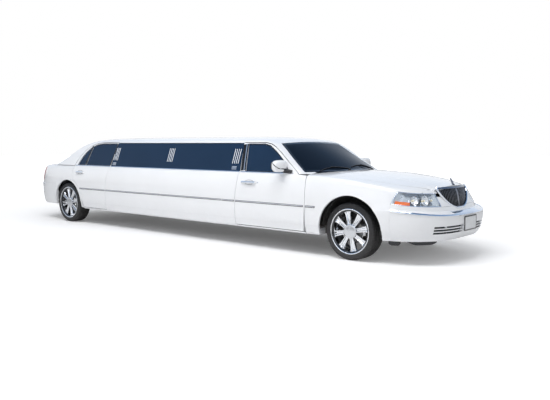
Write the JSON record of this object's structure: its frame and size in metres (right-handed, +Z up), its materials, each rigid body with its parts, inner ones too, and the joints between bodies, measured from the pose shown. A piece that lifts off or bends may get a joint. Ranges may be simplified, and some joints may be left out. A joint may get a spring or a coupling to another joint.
{
  "type": "stretch limousine",
  "caption": "Long white stretch limousine with opening doors, hood and trunk, steered front wheels, rolling wheels, tinted windows and a hollow passenger cabin with a bench and cabinet.",
  "frame": {"origin": "on the ground under the middle of the bounding box", "axes": "+X points to the front of the car, +Y to the car's left side, +Z up"},
  "size_m": [8.532, 2.246, 1.5],
  "materials": {
    "white_paint": "gloss",
    "frame_black": "satin",
    "floor_carpet": "matte",
    "tinted_glass": "polished",
    "lamp_lens": "polished",
    "tail_lens": "gloss",
    "chrome": "polished",
    "plate": "satin",
    "black_plastic": "matte",
    "cast_metal": "rough",
    "exhaust_steel": "satin",
    "seat_leather": "satin",
    "cabin_trim": "gloss",
    "tyre": "matte"
  },
  "bodies": {
    "car_body": {"chassis_frame": "frame_black", "front_frame_rails": "frame_black", "rear_frame_rails": "frame_black", "floor_pan": "floor_carpet", "side_panels": "white_paint", "side_windows": "tinted_glass", "roof": "white_paint", "windshield": "tinted_glass", "rear_window": "tinted_glass", "fenders": "white_paint", "quarter_panels": "white_paint", "front_bumper": "white_paint", "rear_bumper": "white_paint", "headlamps": "lamp_lens", "tail_lamps": "tail_lens", "grille": "chrome", "number_plates": "plate", "inner_panels": "black_plastic", "engine": "cast_metal", "driveline": "frame_black", "front_suspension": "frame_black", "exhaust": "exhaust_steel", "fuel_tank": "frame_black", "dashboard": "black_plastic", "front_seats": "seat_leather", "passenger_seats": "seat_leather", "partition": "cabin_trim"},
    "hood": {"hood": "white_paint"},
    "trunk_lid": {"trunk_lid": "white_paint"},
    "right_front_door": {"right_front_door": "white_paint", "right_front_glass": "tinted_glass"},
    "left_front_door": {"left_front_door": "white_paint", "left_front_glass": "tinted_glass"},
    "right_rear_door": {"right_rear_door": "white_paint", "right_rear_glass": "tinted_glass"},
    "left_rear_door": {"left_rear_door": "white_paint", "left_rear_glass": "tinted_glass"},
    "right_knuckle": {"right_knuckle": "cast_metal"},
    "left_knuckle": {"left_knuckle": "cast_metal"},
    "right_front_wheel": {"right_front_tyre": "tyre", "right_front_rim": "chrome"},
    "left_front_wheel": {"left_front_tyre": "tyre", "left_front_rim": "chrome"},
    "right_rear_wheel": {"right_rear_tyre": "tyre", "right_rear_rim": "chrome"},
    "left_rear_wheel": {"left_rear_tyre": "tyre", "left_rear_rim": "chrome"}
  },
  "joints": [
    {"name": "hood_hinge", "type": "hinge", "parent": "car_body", "child": "hood", "pos_m": [2.512, 0, 1.00287], "axis": [0, -1, 0], "range_deg": [0, 50]},
    {"name": "trunk_hinge", "type": "hinge", "parent": "car_body", "child": "trunk_lid", "pos_m": [-3.25, 0, 1.0167], "axis": [0, 1, 0], "range_deg": [0, 70]},
    {"name": "right_front_door_hinge", "type": "hinge", "parent": "car_body", "child": "right_front_door", "pos_m": [2.516, -0.985, 0.6], "axis": [0, 0, 1], "range_deg": [0, 65]},
    {"name": "right_rear_door_hinge", "type": "hinge", "parent": "car_body", "child": "right_rear_door", "pos_m": [-1.716, -0.985, 0.6], "axis": [0, 0, 1], "range_deg": [0, 65]},
    {"name": "left_front_door_hinge", "type": "hinge", "parent": "car_body", "child": "left_front_door", "pos_m": [2.516, 0.985, 0.6], "axis": [0, 0, -1], "range_deg": [0, 65]},
    {"name": "left_rear_door_hinge", "type": "hinge", "parent": "car_body", "child": "left_rear_door", "pos_m": [-1.716, 0.985, 0.6], "axis": [0, 0, -1], "range_deg": [0, 65]},
    {"name": "right_steering", "type": "hinge", "parent": "car_body", "child": "right_knuckle", "pos_m": [3.146, -0.775, 0.35], "axis": [0, 0, 1], "range_deg": [-30, 30]},
    {"name": "right_front_wheel_spin", "type": "hinge", "parent": "right_knuckle", "child": "right_front_wheel", "pos_m": [3.146, -0.797, 0.35], "axis": [0, 1, 0], "continuous": true},
    {"name": "right_rear_wheel_spin", "type": "hinge", "parent": "car_body", "child": "right_rear_wheel", "pos_m": [-2.891, -0.827, 0.35], "axis": [0, 1, 0], "continuous": true},
    {"name": "left_steering", "type": "hinge", "parent": "car_body", "child": "left_knuckle", "pos_m": [3.146, 0.775, 0.35], "axis": [0, 0, 1], "range_deg": [-30, 30]},
    {"name": "left_front_wheel_spin", "type": "hinge", "parent": "left_knuckle", "child": "left_front_wheel", "pos_m": [3.146, 0.797, 0.35], "axis": [0, 1, 0], "continuous": true},
    {"name": "left_rear_wheel_spin", "type": "hinge", "parent": "car_body", "child": "left_rear_wheel", "pos_m": [-2.891, 0.827, 0.35], "axis": [0, 1, 0], "continuous": true}
  ],
  "couplings": [
    {"joint": "left_steering", "follows": "right_steering", "ratio": 1}
  ]
}
